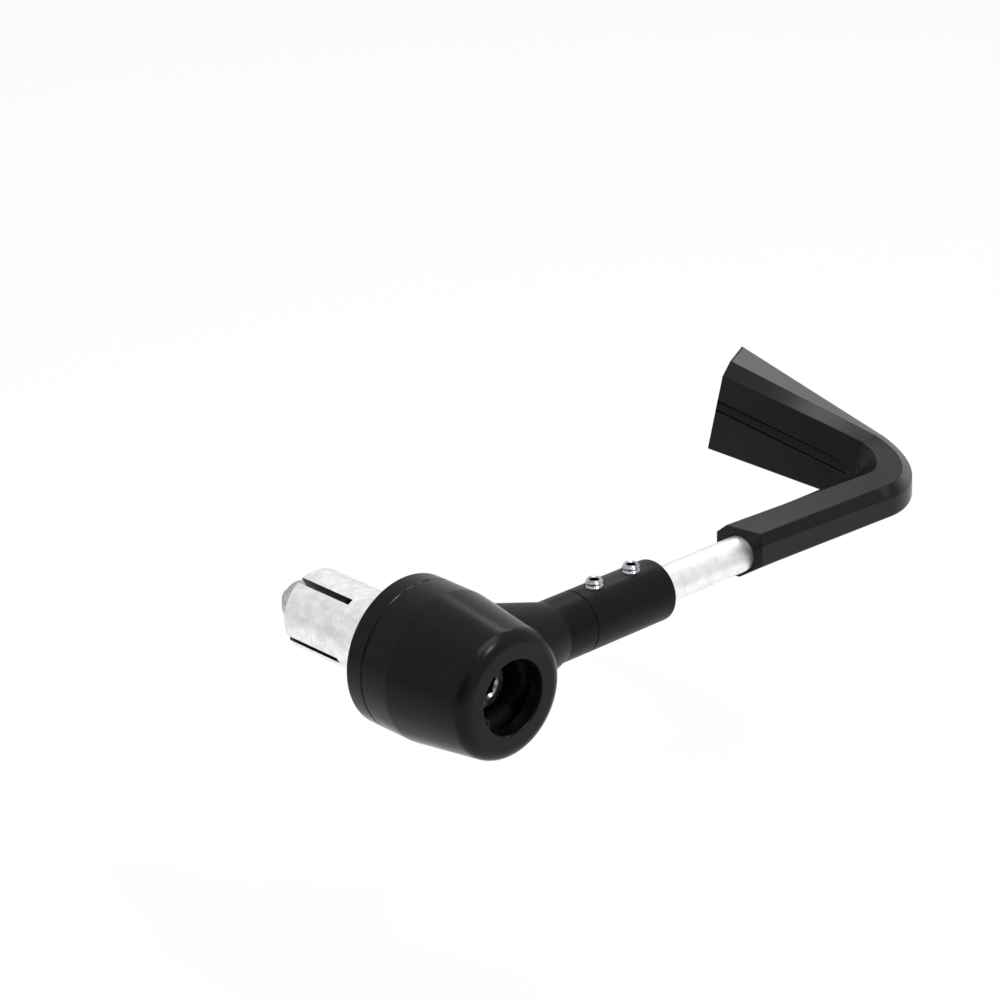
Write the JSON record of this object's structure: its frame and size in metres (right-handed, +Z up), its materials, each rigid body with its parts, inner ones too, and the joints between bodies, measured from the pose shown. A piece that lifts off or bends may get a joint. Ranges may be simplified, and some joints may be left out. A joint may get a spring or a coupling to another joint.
{
  "type": "brake lever guard",
  "caption": "Brake lever guard: round bar-end weight on an expanding collet, an arm that turns with the weight, a sliding rod and a moulded black blade in front of the lever",
  "frame": {"origin": "middle of the ring face that meets the end of the handlebar, on the collet's axis", "axes": "+X out of the bar end away from the bar, +Y forward along the arm, +Z up, the side the clamp screws enter from"},
  "size_m": [0.0747, 0.1677, 0.0351],
  "materials": {
    "anodised_black": "satin black anodised",
    "turned_aluminium": "turned, bare",
    "zinc_steel": "bright zinc",
    "black_steel": "black oxide",
    "insert_nylon": "moulded ring",
    "moulded_black": "fine satin grain"
  },
  "bodies": {
    "head": {"inner_ring": "anodised_black", "expander_collet": "turned_aluminium", "clamp_bolt": "black_steel", "head_washer": "zinc_steel"},
    "wedge": {"cone_wedge": "turned_aluminium", "lock_nut": "zinc_steel", "nut_insert": "insert_nylon"},
    "arm": {"end_weight": "anodised_black", "arm_knuckle": "anodised_black", "clamp_sleeve": "anodised_black", "rear_clamp_screw": "zinc_steel", "front_clamp_screw": "zinc_steel"},
    "guard": {"reach_rod": "turned_aluminium", "lever_guard": "moulded_black"}
  },
  "joints": [
    {"name": "arm_swivel", "type": "hinge", "parent": "head", "child": "arm", "pos_m": [0.0158, 0, 0], "axis": [1, 0, 0], "range_deg": [-30, 30]},
    {"name": "reach_slide", "type": "slide", "parent": "arm", "child": "guard", "axis": [0, 1, 0], "range_m": [-0.004, 0.008]},
    {"name": "wedge_draw", "type": "slide", "parent": "head", "child": "wedge", "axis": [-1, 0, 0], "range_m": [0, 0.002]}
  ]
}
